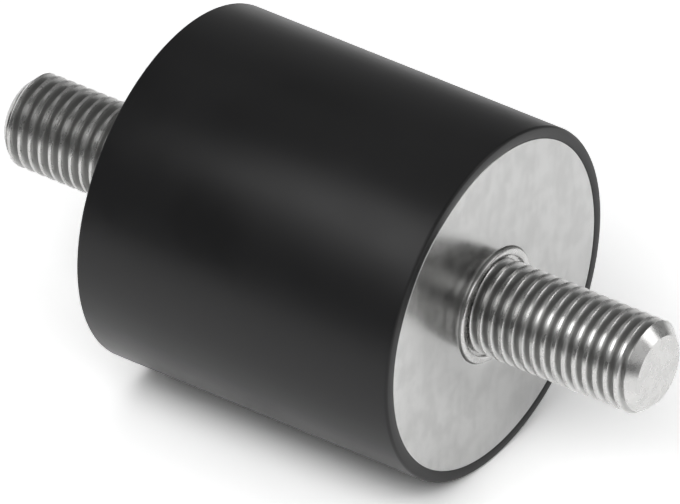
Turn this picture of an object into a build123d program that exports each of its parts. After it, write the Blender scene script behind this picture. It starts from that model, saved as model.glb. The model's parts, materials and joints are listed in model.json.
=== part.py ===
from build123d import *
import os

os.makedirs("parts", exist_ok=True)

# Male-male bobbin vibration mount. A rubber cylinder is bonded between two steel end plates,
# and each plate carries a threaded stud, headed behind the plate and staked over in front of it.
# The mount lies along X with its front stud towards +X. The origin is the middle of the rubber.

# Rubber body
body_diameter = 60.0
body_length = 60.0  # over both plate faces
rim_width = 2.0  # rubber lip around each plate
rim_chamfer = 0.5  # outer edge of each moulded end

# End plates, flush with the rubber lip
plate_thickness = 4.0
plate_back_chamfer = 1.2  # hidden edge, buried in the rubber

# Studs, M16 x 2, with the thread at its outer diameter
thread_diameter = 16.0
stud_projection = 31.3  # plate face to tip
tip_chamfer = 2.0
neck_diameter = 15.0  # thread run-out beside the plate
neck_length = 1.0
neck_taper = 0.5  # lead from the neck up to the thread

# Collar through the plate, staked over into the countersink of the hole as a raised bead
collar_diameter = 18.0
stake_diameter = 20.0
stake_depth = 1.0
bead_inner_diameter = 17.0
bead_height = 0.6
bead_land = 0.5  # flat top of the bead

# Stud head behind the plate, which the rubber pulls on
head_diameter = 28.0
head_thickness = 4.0
head_chamfer = 1.5

plate_radius = body_diameter / 2 - rim_width
head_back = plate_thickness + head_thickness
bead_flank = (stake_diameter - bead_inner_diameter) / 4 - bead_land / 2

# Turned outlines as (distance out of the end face, radius), from the inside outwards
plate_rim = [
    (-plate_thickness, plate_radius - plate_back_chamfer),
    (-plate_thickness + plate_back_chamfer, plate_radius),
    (0, plate_radius),
]
stud_head = [
    (-head_back, head_diameter / 2 - head_chamfer),
    (-head_back + head_chamfer, head_diameter / 2),
    (-plate_thickness, head_diameter / 2),
]
stud_collar = [
    (-plate_thickness, collar_diameter / 2),
    (-stake_depth, collar_diameter / 2),
    (0, stake_diameter / 2),
]
stud_bead = [
    (bead_height, stake_diameter / 2 - bead_flank),
    (bead_height, bead_inner_diameter / 2 + bead_flank),
    (0, bead_inner_diameter / 2),
]
stud_shank = [
    (0, neck_diameter / 2),
    (neck_length, neck_diameter / 2),
    (neck_length + neck_taper, thread_diameter / 2),
    (stud_projection - tip_chamfer, thread_diameter / 2),
    (stud_projection, thread_diameter / 2 - tip_chamfer),
]

# End faces, each with its normal pointing out along its stud
ends = {
    "front": Plane(origin=(body_length / 2, 0, 0), x_dir=(0, 1, 0), z_dir=(1, 0, 0)),
    "rear": Plane(origin=(-body_length / 2, 0, 0), x_dir=(0, 1, 0), z_dir=(-1, 0, 0)),
}


def half_section(end_face, outline):
    """Sketch of a turned outline closed along the axis, on the side of the end face it grows from."""
    section = Plane(origin=end_face.origin, x_dir=end_face.z_dir, z_dir=(0, 0, 1))
    axis_start = (outline[0][0], 0)
    axis_end = (outline[-1][0], 0)
    with BuildSketch(section) as profile:
        with BuildLine():
            Polyline(axis_start, *outline, axis_end, close=True)
        make_face()
    return profile.sketch


# Rubber body, moulded round the plates and the stud heads
with BuildPart() as rubber_body:
    with BuildSketch(Plane.YZ.offset(-body_length / 2)):
        Circle(body_diameter / 2)
    extrude(amount=body_length)
    chamfer(rubber_body.edges().filter_by(GeomType.CIRCLE), length=rim_chamfer)
    for face in ends.values():
        revolve(half_section(face, plate_rim), axis=Axis.X, mode=Mode.SUBTRACT)
        revolve(half_section(face, stud_head), axis=Axis.X, mode=Mode.SUBTRACT)
rubber_body.part.label = "rubber_body"
export_step(rubber_body.part, "parts/rubber_body.step")

for end, face in ends.items():
    # End plate, a disc whose countersunk hole is filled by the collar
    with BuildPart() as plate:
        revolve(half_section(face, plate_rim), axis=Axis.X)
        revolve(half_section(face, stud_collar), axis=Axis.X, mode=Mode.SUBTRACT)
    plate.part.label = f"{end}_plate"
    export_step(plate.part, f"parts/{end}_plate.step")

    # Stud, turned in one piece
    with BuildPart() as stud:
        revolve(half_section(face, stud_head + stud_collar + stud_bead + stud_shank), axis=Axis.X)
    stud.part.label = f"{end}_stud"
    export_step(stud.part, f"parts/{end}_stud.step")
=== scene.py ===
import bpy
import json
import math
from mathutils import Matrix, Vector


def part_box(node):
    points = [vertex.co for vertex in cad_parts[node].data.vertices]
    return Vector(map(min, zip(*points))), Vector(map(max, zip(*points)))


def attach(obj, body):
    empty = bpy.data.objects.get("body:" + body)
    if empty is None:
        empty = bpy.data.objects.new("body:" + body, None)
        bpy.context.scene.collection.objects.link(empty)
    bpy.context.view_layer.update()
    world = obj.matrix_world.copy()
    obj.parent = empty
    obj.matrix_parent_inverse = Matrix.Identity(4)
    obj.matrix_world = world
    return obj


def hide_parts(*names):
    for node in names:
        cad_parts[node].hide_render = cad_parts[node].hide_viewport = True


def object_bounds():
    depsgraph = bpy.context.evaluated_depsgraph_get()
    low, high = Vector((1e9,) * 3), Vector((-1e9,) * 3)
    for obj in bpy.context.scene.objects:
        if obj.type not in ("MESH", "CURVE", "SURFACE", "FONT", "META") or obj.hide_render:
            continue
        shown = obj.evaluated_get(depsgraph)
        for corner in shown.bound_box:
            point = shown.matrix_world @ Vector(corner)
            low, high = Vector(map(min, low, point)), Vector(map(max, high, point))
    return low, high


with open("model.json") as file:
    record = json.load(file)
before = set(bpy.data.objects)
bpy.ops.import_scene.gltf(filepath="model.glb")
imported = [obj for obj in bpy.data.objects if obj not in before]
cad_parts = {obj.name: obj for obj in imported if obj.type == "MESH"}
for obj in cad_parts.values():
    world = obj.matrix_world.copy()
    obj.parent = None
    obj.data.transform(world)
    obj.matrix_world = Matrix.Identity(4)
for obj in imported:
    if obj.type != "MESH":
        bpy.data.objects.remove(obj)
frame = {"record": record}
cadBounds = [list(corner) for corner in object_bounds()]

mm = 0.001
tau = 2 * math.pi
weldDistance = 0.001 * mm
cutThreshold = 0.0001 * mm   # finer than Blender's own, which is coarse for a part in metres


# small helpers for modelling by hand
def startFresh():
    if bpy.context.object and bpy.context.object.mode != "OBJECT":
        bpy.ops.object.mode_set(mode="OBJECT")
    bpy.ops.object.select_all(action="DESELECT")


def makeActive(piece):
    startFresh()
    piece.select_set(True)
    bpy.context.view_layer.objects.active = piece


def openForEditing(piece, selectBy):
    makeActive(piece)
    bpy.ops.object.mode_set(mode="EDIT")
    bpy.ops.mesh.select_mode(type=selectBy)
    bpy.ops.mesh.select_all(action="DESELECT")


def pickFaces(piece, wanted):
    openForEditing(piece, "FACE")
    bpy.ops.object.mode_set(mode="OBJECT")
    for face in piece.data.polygons:
        face.select = wanted(face)
    bpy.ops.object.mode_set(mode="EDIT")


def closeUp(piece):
    # outward normals, then back to object mode
    bpy.ops.mesh.select_all(action="SELECT")
    bpy.ops.mesh.normals_make_consistent(inside=False)
    bpy.ops.object.mode_set(mode="OBJECT")


def nameIt(piece, name):
    piece.name = name
    piece.data.name = name
    return piece


def radiusOf(point):
    return math.hypot(point.y, point.z)


def selectRing(piece, x, radius, near=0.02 * mm):
    # picks the edges of a turned piece that lie on one circle
    openForEditing(piece, "EDGE")
    bpy.ops.object.mode_set(mode="OBJECT")
    for edge in piece.data.edges:
        ends = [piece.data.vertices[i].co for i in edge.vertices]
        edge.select = all(abs(p.x - x) < near and abs(radiusOf(p) - radius) < near for p in ends)
    bpy.ops.object.mode_set(mode="EDIT")


def roundRing(piece, x, radius, width, segments):
    selectRing(piece, x, radius)
    bpy.ops.mesh.bevel(offset=width, segments=segments, profile=0.5, affect="EDGES")
    bpy.ops.object.mode_set(mode="OBJECT")


def turnPiece(name, outline, segments):
    # a disc is extruded along X and resized, point by point of the outline (x, radius)
    startFresh()
    firstX, firstRadius = outline[0]
    bpy.ops.mesh.primitive_circle_add(vertices=segments, radius=firstRadius, fill_type="NGON",
                                      location=(firstX, 0, 0), rotation=(0, math.pi / 2, 0))
    piece = nameIt(bpy.context.object, name)
    bpy.ops.object.transform_apply(location=True, rotation=True, scale=True)
    openForEditing(piece, "FACE")
    bpy.ops.mesh.select_all(action="SELECT")
    for (x0, radius0), (x1, radius1) in zip(outline, outline[1:]):
        bpy.ops.mesh.extrude_region_move(TRANSFORM_OT_translate={"value": (x1 - x0, 0, 0)})
        grow = radius1 / radius0
        bpy.ops.transform.resize(value=(1, grow, grow), center_override=(x1, 0, 0))
    closeUp(piece)
    return piece


def combine(piece, tool, operation):
    makeActive(piece)
    cut = piece.modifiers.new("combine", "BOOLEAN")
    cut.operation = operation
    cut.object = tool
    cut.solver = "EXACT"
    bpy.ops.object.modifier_apply(modifier=cut.name)
    bpy.data.objects.remove(tool)


def smooth(piece, degrees=35):
    makeActive(piece)
    bpy.ops.object.shade_smooth_by_angle(angle=math.radians(degrees))


def turnedCopy(piece, name):
    # the far end is the near end turned half round, which keeps the hand of the thread
    makeActive(piece)
    bpy.ops.object.duplicate(linked=False)
    copy = nameIt(bpy.context.object, name)
    copy.rotation_euler = (0, 0, math.pi)
    bpy.ops.object.transform_apply(location=True, rotation=True, scale=True)
    return copy


def finishPiece(piece, node, material):
    piece.data.materials.clear()
    piece.data.materials.append(material)
    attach(piece, "root")
    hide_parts(node)


# places that come from the frame
_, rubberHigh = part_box("rubber_body")
plateLow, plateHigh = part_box("front_plate")
studLow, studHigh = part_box("front_stud")
faceX = plateHigh.x
rubberRadius = rubberHigh.z
plateRadius = plateHigh.z
plateBackX = plateLow.x
studTipX = studHigh.x
headBackX = studLow.x
headRadius = studHigh.z
threadMount = next(m for m in frame["record"]["mounts"] if m["name"] == "front_stud")
threadRadius = threadMount["dims"]["r_mm"] * mm


def newMaterial(name):
    material = bpy.data.materials.new(name)
    material.use_nodes = True
    nodes = material.node_tree.nodes
    nodes.clear()
    output = nodes.new("ShaderNodeOutputMaterial")
    shader = nodes.new("ShaderNodeBsdfPrincipled")
    material.node_tree.links.new(shader.outputs["BSDF"], output.inputs["Surface"])
    return material, nodes, material.node_tree.links, shader


def objectPattern(nodes, links, stretch=(1, 1, 1)):
    place = nodes.new("ShaderNodeTexCoord")
    mapping = nodes.new("ShaderNodeMapping")
    mapping.inputs["Scale"].default_value = stretch
    links.new(place.outputs["Object"], mapping.inputs["Vector"])
    return mapping.outputs["Vector"]


def noise(nodes, links, vector, scale, detail=3, roughness=0.5, distortion=0):
    texture = nodes.new("ShaderNodeTexNoise")
    texture.inputs["Scale"].default_value = scale
    texture.inputs["Detail"].default_value = detail
    texture.inputs["Roughness"].default_value = roughness
    texture.inputs["Distortion"].default_value = distortion
    links.new(vector, texture.inputs["Vector"])
    return texture.outputs["Fac"]


def mapRange(nodes, links, value, low, high, fromLow=0.35, fromHigh=0.65):
    remap = nodes.new("ShaderNodeMapRange")
    remap.interpolation_type = "SMOOTHSTEP"
    remap.inputs["From Min"].default_value = fromLow
    remap.inputs["From Max"].default_value = fromHigh
    remap.inputs["To Min"].default_value = low
    remap.inputs["To Max"].default_value = high
    links.new(value, remap.inputs["Value"])
    return remap.outputs["Result"]


def mathNode(nodes, links, operation, *values):
    node = nodes.new("ShaderNodeMath")
    node.operation = operation
    for socket, value in zip(node.inputs, values):
        if isinstance(value, (int, float)):
            socket.default_value = value
        else:
            links.new(value, socket)
    return node.outputs["Value"]


def mixColour(nodes, links, factor, a, b):
    mix = nodes.new("ShaderNodeMix")
    mix.data_type = "RGBA"
    links.new(factor, mix.inputs["Factor"])
    for name, colour in (("A", a), ("B", b)):
        if isinstance(colour, tuple):
            mix.inputs[name].default_value = (*colour, 1)
        else:
            links.new(colour, mix.inputs[name])
    return mix.outputs["Result"]


def bump(nodes, links, height, strength, distance):
    node = nodes.new("ShaderNodeBump")
    node.inputs["Strength"].default_value = strength
    node.inputs["Distance"].default_value = distance
    links.new(height, node.inputs["Height"])
    return node.outputs["Normal"]


rubberLook = {
    "colour": (0.0050, 0.0050, 0.0054),
    "bloomColour": (0.0075, 0.0075, 0.0080),   # faint grey bloom in soft patches
    "bloomSize": 45,
    "roughness": (0.35, 0.41),
    "grainSize": 1500,
    "grainDepth": 0.012 * mm,
    "grainStrength": 0.25,
    "shine": 0.29,
}


def makeRubber():
    material, nodes, links, shader = newMaterial("satinRubber")
    place = objectPattern(nodes, links)
    patches = noise(nodes, links, place, rubberLook["bloomSize"], detail=4)
    grain = noise(nodes, links, place, rubberLook["grainSize"], detail=2)
    tint = mapRange(nodes, links, patches, 0, 1)
    colour = mixColour(nodes, links, tint, rubberLook["colour"], rubberLook["bloomColour"])
    links.new(colour, shader.inputs["Base Color"])
    links.new(mapRange(nodes, links, patches, *rubberLook["roughness"]), shader.inputs["Roughness"])
    grainNormal = bump(nodes, links, grain, rubberLook["grainStrength"], rubberLook["grainDepth"])
    links.new(grainNormal, shader.inputs["Normal"])
    shader.inputs["Specular IOR Level"].default_value = rubberLook["shine"]
    return material


plateLook = {
    "pale": (0.47, 0.47, 0.465),
    "dull": (0.41, 0.41, 0.405),
    "cloudSize": 240,
    "streakSize": 700,
    "streakStretch": (1, 1, 0.35),    # the sheet was rolled, so the mottling is a little longer one way
    "streakShare": 0.3,               # of the mottling, and the clouds make the rest
    "mottlingRange": (0.37, 0.63),    # a narrower range has more contrast
    "roughness": (0.19, 0.25),
    "unevenness": 0.004 * mm,
    "unevenStrength": 0.3,
}


def makePlateSteel():
    material, nodes, links, shader = newMaterial("zincPlate")
    place = objectPattern(nodes, links)
    streakPlace = objectPattern(nodes, links, plateLook["streakStretch"])
    clouds = noise(nodes, links, place, plateLook["cloudSize"], detail=4, roughness=0.55)
    streaks = noise(nodes, links, streakPlace, plateLook["streakSize"], detail=3)
    streakShare = plateLook["streakShare"]
    streakPart = mathNode(nodes, links, "MULTIPLY", streaks, streakShare)
    mottling = mathNode(nodes, links, "MULTIPLY_ADD", clouds, 1 - streakShare, streakPart)
    colour = mixColour(nodes, links, mapRange(nodes, links, mottling, 0, 1, *plateLook["mottlingRange"]),
                       plateLook["dull"], plateLook["pale"])
    links.new(colour, shader.inputs["Base Color"])
    links.new(mapRange(nodes, links, mottling, *plateLook["roughness"]), shader.inputs["Roughness"])
    unevenNormal = bump(nodes, links, streaks, plateLook["unevenStrength"], plateLook["unevenness"])
    links.new(unevenNormal, shader.inputs["Normal"])
    shader.inputs["Metallic"].default_value = 1
    return material


# studs: thread, chamfered tip, run-out, staked bead, collar and head
stud = {
    "segments": 128,
    "pitch": 2 * mm,
    "crestRadius": threadRadius - 0.06 * mm,
    "threadDepth": 1.1 * mm,
    "crestFlat": 0.25,          # shares of the pitch
    "rootFlat": 0.083,
    "flankRounding": 0.4,       # 0 is a sharp V, 1 a full wave
    "pointsPerPitch": 24,
    "firstRoot": 0.9 * mm,      # from the plate's face, on top of the stud
    "rearTurn": math.radians(-76),   # the rear thread starts at another point of the turn
    "tipChamfer": 2.0 * mm,
    "neckRadius": 7.0 * mm,
    "neckLength": 0.25 * mm,
    "neckTaper": 0.5 * mm,      # from the neck down to the groove
    "neckSunk": 0.1 * mm,       # the taper ends this far under the thread's root
    "collarRadius": 9 * mm,
    "stakeRadius": 10 * mm,
    "stakeDepth": 1 * mm,
    "beadGap": 0.25 * mm,       # the stake stands this far clear of the plate at the face
    "beadCrownRadius": 9.2 * mm,
    "beadInnerRadius": 8.5 * mm,
    "beadHeight": 0.6 * mm,
    "beadShoulders": (0.6, 0.8),     # outer and inner edge, as shares of the bead's height
    "beadRound": 0.3 * mm,
    "shoulderRound": 0.15 * mm,
    "beadSegments": 6,
    "shoulderSegments": 3,
    "headChamfer": 1.5 * mm,
    "spareTurns": 2,            # swept before the first root, so that the rod can be cut square
    "rodPastFace": 0.3 * mm,    # the threaded rod is cut longer than needed and then trimmed
    "rodPastTip": 0.5 * mm,
    "blankSpare": 0.1 * mm,     # the trimming blank is this much wider than the thread at the face
}


studLook = {
    "pale": (0.54, 0.537, 0.53),
    "dull": (0.48, 0.477, 0.47),
    "paintedGrooveShade": (0.35, 0.35, 0.345),   # painted shade: thread flanks and roots are coloured darker, as the grooves fall in shade; the crests keep the metal's colour
    "roughness": (0.24, 0.31),
    "grooveRoughness": 0.36,
    "cloudSize": 420,
    "fineSize": 2600,
    "unevenness": 0.0015 * mm,
    "unevenStrength": 0.3,
    "grooveFades": (0.6, 0.1),               # shares of the thread's depth, from full painted shade to none
    "chamferFades": (-0.1 * mm, 0.3 * mm),   # from the start of the tip's chamfer
    "beadFootRing": (9.55 * mm, 9.75 * mm),
    "beadFootHeight": (0.05 * mm, 0.3 * mm),
}


def makeStudSteel():
    material, nodes, links, shader = newMaterial("zincStud")
    place = objectPattern(nodes, links)
    clouds = noise(nodes, links, place, studLook["cloudSize"], detail=4, roughness=0.6)
    fine = noise(nodes, links, place, studLook["fineSize"], detail=2)
    metal = mixColour(nodes, links, mapRange(nodes, links, clouds, 0, 1), studLook["dull"], studLook["pale"])
    # painted shade by depth in the thread, 1 at the root and 0 on the crest, and none past the start of the
    # tip's chamfer
    radius = nodes.new("ShaderNodeVectorMath")
    radius.operation = "LENGTH"
    links.new(objectPattern(nodes, links, (0, 1, 1)), radius.inputs[0])
    dullBelow, brightAbove = [threadRadius - stud["threadDepth"] * share for share in studLook["grooveFades"]]
    depth = mapRange(nodes, links, radius.outputs["Value"], 1, 0, dullBelow, brightAbove)
    along = nodes.new("ShaderNodeSeparateXYZ")
    links.new(place, along.inputs["Vector"])
    chamferX = studTipX - stud["tipChamfer"]
    fadeFrom, fadeTo = [chamferX + shift for shift in studLook["chamferFades"]]
    threaded = mapRange(nodes, links, mathNode(nodes, links, "ABSOLUTE", along.outputs["X"]), 1, 0,
                        fadeFrom, fadeTo)
    # painted shade at the foot of the bead too, in the crevice where it meets the plate
    offBead = mapRange(nodes, links, radius.outputs["Value"], 0, 1, *studLook["beadFootRing"])
    footFrom, footTo = [faceX + height for height in studLook["beadFootHeight"]]
    low = mapRange(nodes, links, mathNode(nodes, links, "ABSOLUTE", along.outputs["X"]), 1, 0,
                   footFrom, footTo)
    beadFoot = mathNode(nodes, links, "MULTIPLY", offBead, low)
    # painted shade mask for the thread's grooves and the bead's foot; it darkens the colour there and also
    # raises the roughness
    paintedGrooveShade = mathNode(nodes, links, "MULTIPLY", depth, threaded)
    paintedGrooveShade = mathNode(nodes, links, "MAXIMUM", paintedGrooveShade, beadFoot)
    links.new(mixColour(nodes, links, paintedGrooveShade, metal, studLook["paintedGrooveShade"]), shader.inputs["Base Color"])
    polish = mapRange(nodes, links, clouds, *studLook["roughness"])
    roughness = nodes.new("ShaderNodeMix")
    links.new(paintedGrooveShade, roughness.inputs["Factor"])
    links.new(polish, roughness.inputs["A"])
    roughness.inputs["B"].default_value = studLook["grooveRoughness"]
    links.new(roughness.outputs["Result"], shader.inputs["Roughness"])
    unevenNormal = bump(nodes, links, fine, studLook["unevenStrength"], studLook["unevenness"])
    links.new(unevenNormal, shader.inputs["Normal"])
    shader.inputs["Metallic"].default_value = 1
    return material


# rubber body, moulded round both plates
rubberBody = {
    "segments": 256,
    "outerRound": 0.5 * mm,
    "lipRound": 0.12 * mm,
    "edgeSegments": 4,
    "lipSegments": 2,
}


def makeRubberBody():
    # the pockets behind the lips are as deep as the plates, which close them; there is none for the
    # stud heads, so both heads sit inside this mesh, out of sight
    startFresh()
    bpy.ops.mesh.primitive_cylinder_add(vertices=rubberBody["segments"], radius=rubberRadius,
                                        depth=2 * faceX, rotation=(0, math.pi / 2, 0))
    body = nameIt(bpy.context.object, "mouldedRubber")
    bpy.ops.object.transform_apply(location=True, rotation=True, scale=True)
    for side in (1, -1):
        pickFaces(body, lambda face: face.normal.x * side > 0.9)
        bpy.ops.mesh.inset(thickness=rubberRadius - plateRadius)
        inward = side * (plateBackX - faceX)
        bpy.ops.mesh.extrude_region_move(TRANSFORM_OT_translate={"value": (inward, 0, 0)})
    bpy.ops.object.mode_set(mode="OBJECT")
    for side in (1, -1):
        roundRing(body, side * faceX, rubberRadius, rubberBody["outerRound"], rubberBody["edgeSegments"])
        roundRing(body, side * faceX, plateRadius, rubberBody["lipRound"], rubberBody["lipSegments"])
    smooth(body)
    finishPiece(body, "rubber_body", rubber)


rubber = makeRubber()
makeRubberBody()
print("rubber body made")


def threadShape(share):
    # height of the thread, 0 at the root and 1 at the crest, at a share of one pitch
    wave = 1 - abs(2 * share - 1)
    rise = (wave - stud["rootFlat"]) / (1 - stud["rootFlat"] - stud["crestFlat"])
    rise = min(max(rise, 0), 1)
    rounded = rise * rise * (3 - 2 * rise)
    return rise + (rounded - rise) * stud["flankRounding"]


def makeThreadRod(fromX, rootX, toX):
    # one pitch of the outline, drawn point by point and swept round the axis by a Screw modifier;
    # the thread's root is at rootX on the top of the stud
    startFresh()
    bpy.ops.mesh.primitive_plane_add(size=mm, location=(0, 0, 0))
    rod = nameIt(bpy.context.object, "threadRod")
    rootRadius = stud["crestRadius"] - stud["threadDepth"]
    openForEditing(rod, "VERT")
    bpy.ops.mesh.select_all(action="SELECT")
    bpy.ops.mesh.merge(type="CENTER")
    bpy.ops.transform.translate(value=(rootX - stud["spareTurns"] * stud["pitch"], 0, rootRadius))
    height = 0
    for i in range(stud["pointsPerPitch"]):
        rise = threadShape((i + 1) / stud["pointsPerPitch"]) * stud["threadDepth"]
        step = (stud["pitch"] / stud["pointsPerPitch"], 0, rise - height)
        bpy.ops.mesh.extrude_region_move(TRANSFORM_OT_translate={"value": step})
        height = rise
    bpy.ops.object.mode_set(mode="OBJECT")
    sweep = rod.modifiers.new("sweep", "SCREW")
    sweep.axis = "X"
    sweep.angle = tau
    sweep.screw_offset = stud["pitch"]
    sweep.steps = stud["segments"]
    sweep.render_steps = stud["segments"]
    sweep.iterations = math.ceil((toX - rootX) / stud["pitch"]) + stud["spareTurns"] + 1
    bpy.ops.object.modifier_apply(modifier=sweep.name)
    openForEditing(rod, "VERT")
    bpy.ops.mesh.select_all(action="SELECT")
    bpy.ops.mesh.remove_doubles(threshold=weldDistance)
    for x, side in ((fromX, -1), (toX, 1)):
        bpy.ops.mesh.select_all(action="SELECT")
        bpy.ops.mesh.bisect(plane_co=(x, 0, 0), plane_no=(side, 0, 0),
                            threshold=cutThreshold, use_fill=True, clear_outer=True)
    closeUp(rod)
    return rod


def makeStud():
    # the foot is turned with the head, and its neck runs into the first turn of the groove
    crest = stud["crestRadius"]
    rootRadius = crest - stud["threadDepth"]
    neckX = faceX + stud["neckLength"]
    beadX = faceX + stud["beadHeight"]
    outerShoulder, innerShoulder = stud["beadShoulders"]
    outerX = faceX + outerShoulder * stud["beadHeight"]
    innerX = faceX + innerShoulder * stud["beadHeight"]
    beadOuterRadius = stud["stakeRadius"] - stud["beadGap"]
    foot = turnPiece("frontThreadedStud", [
        (headBackX, headRadius - stud["headChamfer"]),
        (headBackX + stud["headChamfer"], headRadius),
        (plateBackX, headRadius),
        (plateBackX, stud["collarRadius"]),
        (faceX - stud["stakeDepth"], stud["collarRadius"]),
        (faceX - stud["beadGap"], beadOuterRadius),
        (outerX, beadOuterRadius),
        (beadX, stud["beadCrownRadius"]),
        (innerX, stud["beadInnerRadius"]),
        (faceX, stud["beadInnerRadius"]),
        (faceX, stud["neckRadius"]),
        (neckX, stud["neckRadius"]),
        (neckX + stud["neckTaper"], rootRadius - stud["neckSunk"]),
    ], stud["segments"])
    roundRing(foot, beadX, stud["beadCrownRadius"], stud["beadRound"], stud["beadSegments"])
    roundRing(foot, outerX, beadOuterRadius, stud["shoulderRound"], stud["shoulderSegments"])
    roundRing(foot, innerX, stud["beadInnerRadius"], stud["shoulderRound"], stud["shoulderSegments"])
    rod = makeThreadRod(faceX - stud["rodPastFace"], faceX + stud["firstRoot"], studTipX + stud["rodPastTip"])
    blank = turnPiece("tipBlank", [
        (faceX, threadRadius + stud["blankSpare"]),
        (studTipX - stud["tipChamfer"], threadRadius),
        (studTipX, threadRadius - stud["tipChamfer"]),
    ], stud["segments"])
    combine(rod, blank, "INTERSECT")
    combine(foot, rod, "UNION")
    openForEditing(foot, "VERT")
    bpy.ops.mesh.select_all(action="SELECT")
    bpy.ops.mesh.remove_doubles(threshold=weldDistance)
    closeUp(foot)
    smooth(foot)
    return foot


studSteel = makeStudSteel()
frontStud = makeStud()
rearStud = turnedCopy(frontStud, "rearThreadedStud")
rearStud.rotation_euler.x = stud["rearTurn"]
makeActive(rearStud)
bpy.ops.object.transform_apply(location=True, rotation=True, scale=True)
finishPiece(frontStud, "front_stud", studSteel)
finishPiece(rearStud, "rear_stud", studSteel)
print("studs made")


# end plates, which fill the pockets of the rubber
plate = {
    "segments": 256,
    "rimRound": 0.15 * mm,
    "holeRound": 0.15 * mm,
    "backChamfer": 1.2 * mm,
    "bondGap": 0.03 * mm,
    "rimSegments": 3,
    "holeSegments": 2,
}


def makePlate():
    rimRadius = plateRadius - plate["bondGap"]
    disc = turnPiece("frontEndPlate", [
        (plateBackX, rimRadius - plate["backChamfer"]),
        (plateBackX + plate["backChamfer"], rimRadius),
        (faceX, rimRadius),
        (faceX, stud["stakeRadius"]),
        (faceX - stud["stakeDepth"], stud["collarRadius"]),
        (plateBackX, stud["collarRadius"]),
    ], plate["segments"])
    # opens the hole through the disc: the two end caps go and their edges are joined
    pickFaces(disc, lambda face: len(face.vertices) > 4)
    bpy.ops.mesh.delete(type="ONLY_FACE")
    bpy.ops.mesh.select_mode(type="EDGE")
    bpy.ops.mesh.select_all(action="DESELECT")
    bpy.ops.mesh.select_non_manifold()
    bpy.ops.mesh.bridge_edge_loops()
    closeUp(disc)
    roundRing(disc, faceX, rimRadius, plate["rimRound"], plate["rimSegments"])
    roundRing(disc, faceX, stud["stakeRadius"], plate["holeRound"], plate["holeSegments"])
    smooth(disc)
    return disc


plateSteel = makePlateSteel()
frontPlate = makePlate()
rearPlate = turnedCopy(frontPlate, "rearEndPlate")
finishPiece(frontPlate, "front_plate", plateSteel)
finishPiece(rearPlate, "rear_plate", plateSteel)
print("end plates made")


# floor, light and camera
studio = {
    "floorSize": 6,
    "floorColour": 0.85,
    "floorShownAs": 1.9,          # what the camera and the metal see of it, so that it reads as white paper
    "roomBack": 0.10,
    "roomFront": 0.16,
    "roomFades": (-0.3, 0.9),     # how squarely a direction faces the viewer, from back to front
    "roomTilt": 0.3,
    # place, point that it faces, width and height, brightness
    "keySoftbox": ((-0.075, -0.165, 0.257), (0.02, 0, 0.01), (0.15, 0.14), 3.3),
    "frontSoftbox": ((0.12, -0.22, 0.245), (0.03, 0, 0), (0.44, 0.16), 1.9),
    "leftSoftbox": ((-0.45, 0, 0.20), (0, 0, 0), (0.40, 0.30), 0.40),
    "rightSoftbox": ((0.42, -0.03, 0.23), (0.03, 0, 0), (0.40, 0.24), 0.62),
    "topSoftbox": ((-0.05, 0.10, 0.50), (0, 0, 0), (0.55, 0.50), 0.42),
    "backSoftbox": ((0, 0.45, 0.25), (0, 0, 0.10), (1.0, 0.50), 0.22),
    "tipSoftbox": ((0.29, 0.18, 0.19), (0.06, 0, 0), (0.14, 0.14), 3.0),
}

view = {
    "azimuth": math.radians(34.945),    # from the front, turned towards the front stud
    "elevation": math.radians(35.362),
    "lens": 1100,     # long, but short enough for views from other sides to reach the object
    "sensor": 36,
    "fieldWidth": 108.05 * mm,          # width of the picture at the object
    "aimBelowCentre": 1.54 * mm,
    "aimRightOfCentre": 0.12 * mm,
    "clipStart": 1,
    "clipEnd": 100,
}


def makeFloor():
    startFresh()
    bpy.ops.mesh.primitive_plane_add(size=studio["floorSize"], location=(0, 0, cadBounds[0][2]))
    floor = nameIt(bpy.context.object, "studioFloor")
    bpy.ops.object.transform_apply(location=True, rotation=True, scale=True)
    material = bpy.data.materials.new("whitePaper")
    material.use_nodes = True
    nodes, links = material.node_tree.nodes, material.node_tree.links
    nodes.clear()
    output = nodes.new("ShaderNodeOutputMaterial")
    diffuse = nodes.new("ShaderNodeBsdfDiffuse")
    path = nodes.new("ShaderNodeLightPath")
    seen = mathNode(nodes, links, "MAXIMUM", path.outputs["Is Camera Ray"], path.outputs["Is Glossy Ray"])
    seen = mathNode(nodes, links, "MAXIMUM", seen, path.outputs["Is Transmission Ray"])
    colour = mixColour(nodes, links, seen, (studio["floorColour"],) * 3, (studio["floorShownAs"],) * 3)
    links.new(colour, diffuse.inputs["Color"])
    links.new(diffuse.outputs["BSDF"], output.inputs["Surface"])
    floor.data.materials.append(material)


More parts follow.
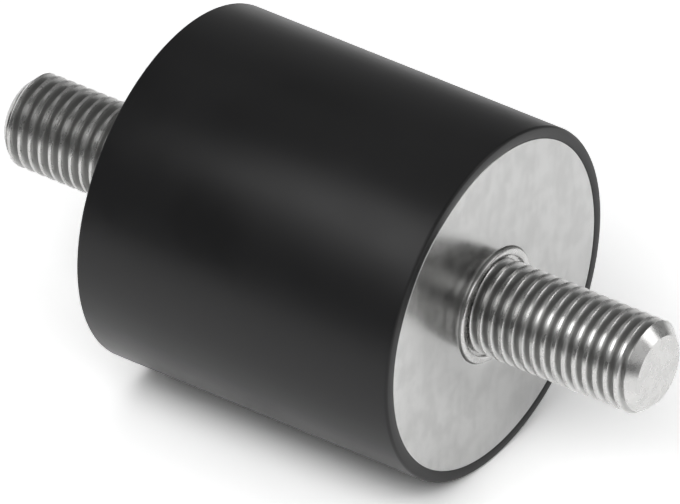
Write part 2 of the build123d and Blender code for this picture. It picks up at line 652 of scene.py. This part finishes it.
def makeWorld():
    # a dim room, a little brighter on the side that the mount is seen from
    world = bpy.data.worlds.new("studioWorld")
    bpy.context.scene.world = world
    world.use_nodes = True
    nodes, links = world.node_tree.nodes, world.node_tree.links
    nodes.clear()
    output = nodes.new("ShaderNodeOutputWorld")
    place = nodes.new("ShaderNodeTexCoord")
    frontness = nodes.new("ShaderNodeVectorMath")
    frontness.operation = "DOT_PRODUCT"
    links.new(place.outputs["Generated"], frontness.inputs[0])
    azimuth = view["azimuth"]
    frontness.inputs[1].default_value = (math.sin(azimuth), -math.cos(azimuth), studio["roomTilt"])
    level = mapRange(nodes, links, frontness.outputs["Value"], studio["roomBack"], studio["roomFront"],
                     *studio["roomFades"])
    light = nodes.new("ShaderNodeBackground")
    links.new(level, light.inputs["Color"])
    links.new(light.outputs["Background"], output.inputs["Surface"])


def makeLamp(name):
    place, faced, (width, height), brightness = studio[name]
    away = Vector(place) - Vector(faced)
    startFresh()
    bpy.ops.object.light_add(type="AREA", location=place, rotation=away.to_track_quat("Z", "Y").to_euler())
    lamp = bpy.context.object
    lamp.name = name
    lamp.data.shape = "RECTANGLE"
    lamp.data.size = width
    lamp.data.size_y = height
    lamp.data.energy = math.pi * width * height * brightness


def makeCamera():
    toCamera = Vector((math.sin(view["azimuth"]) * math.cos(view["elevation"]),
                       -math.cos(view["azimuth"]) * math.cos(view["elevation"]),
                       math.sin(view["elevation"])))
    turn = toCamera.to_track_quat("Z", "Y")
    upward = turn @ Vector((0, 1, 0))
    rightward = turn @ Vector((1, 0, 0))
    aim = rightward * view["aimRightOfCentre"] - upward * view["aimBelowCentre"]
    distance = view["fieldWidth"] * view["lens"] / view["sensor"]
    startFresh()
    bpy.ops.object.camera_add(location=toCamera * distance + aim, rotation=turn.to_euler())
    camera = bpy.context.object
    camera.name = "viewCamera"
    camera.data.lens = view["lens"]
    camera.data.sensor_width = view["sensor"]
    camera.data.clip_start = view["clipStart"]
    camera.data.clip_end = view["clipEnd"]
    bpy.context.scene.camera = camera


makeFloor()
makeWorld()
for softbox in [name for name in studio if name.endswith("Softbox")]:
    makeLamp(softbox)
makeCamera()
bpy.context.scene.view_settings.view_transform = "Standard"
print("floor, lamps and camera made")
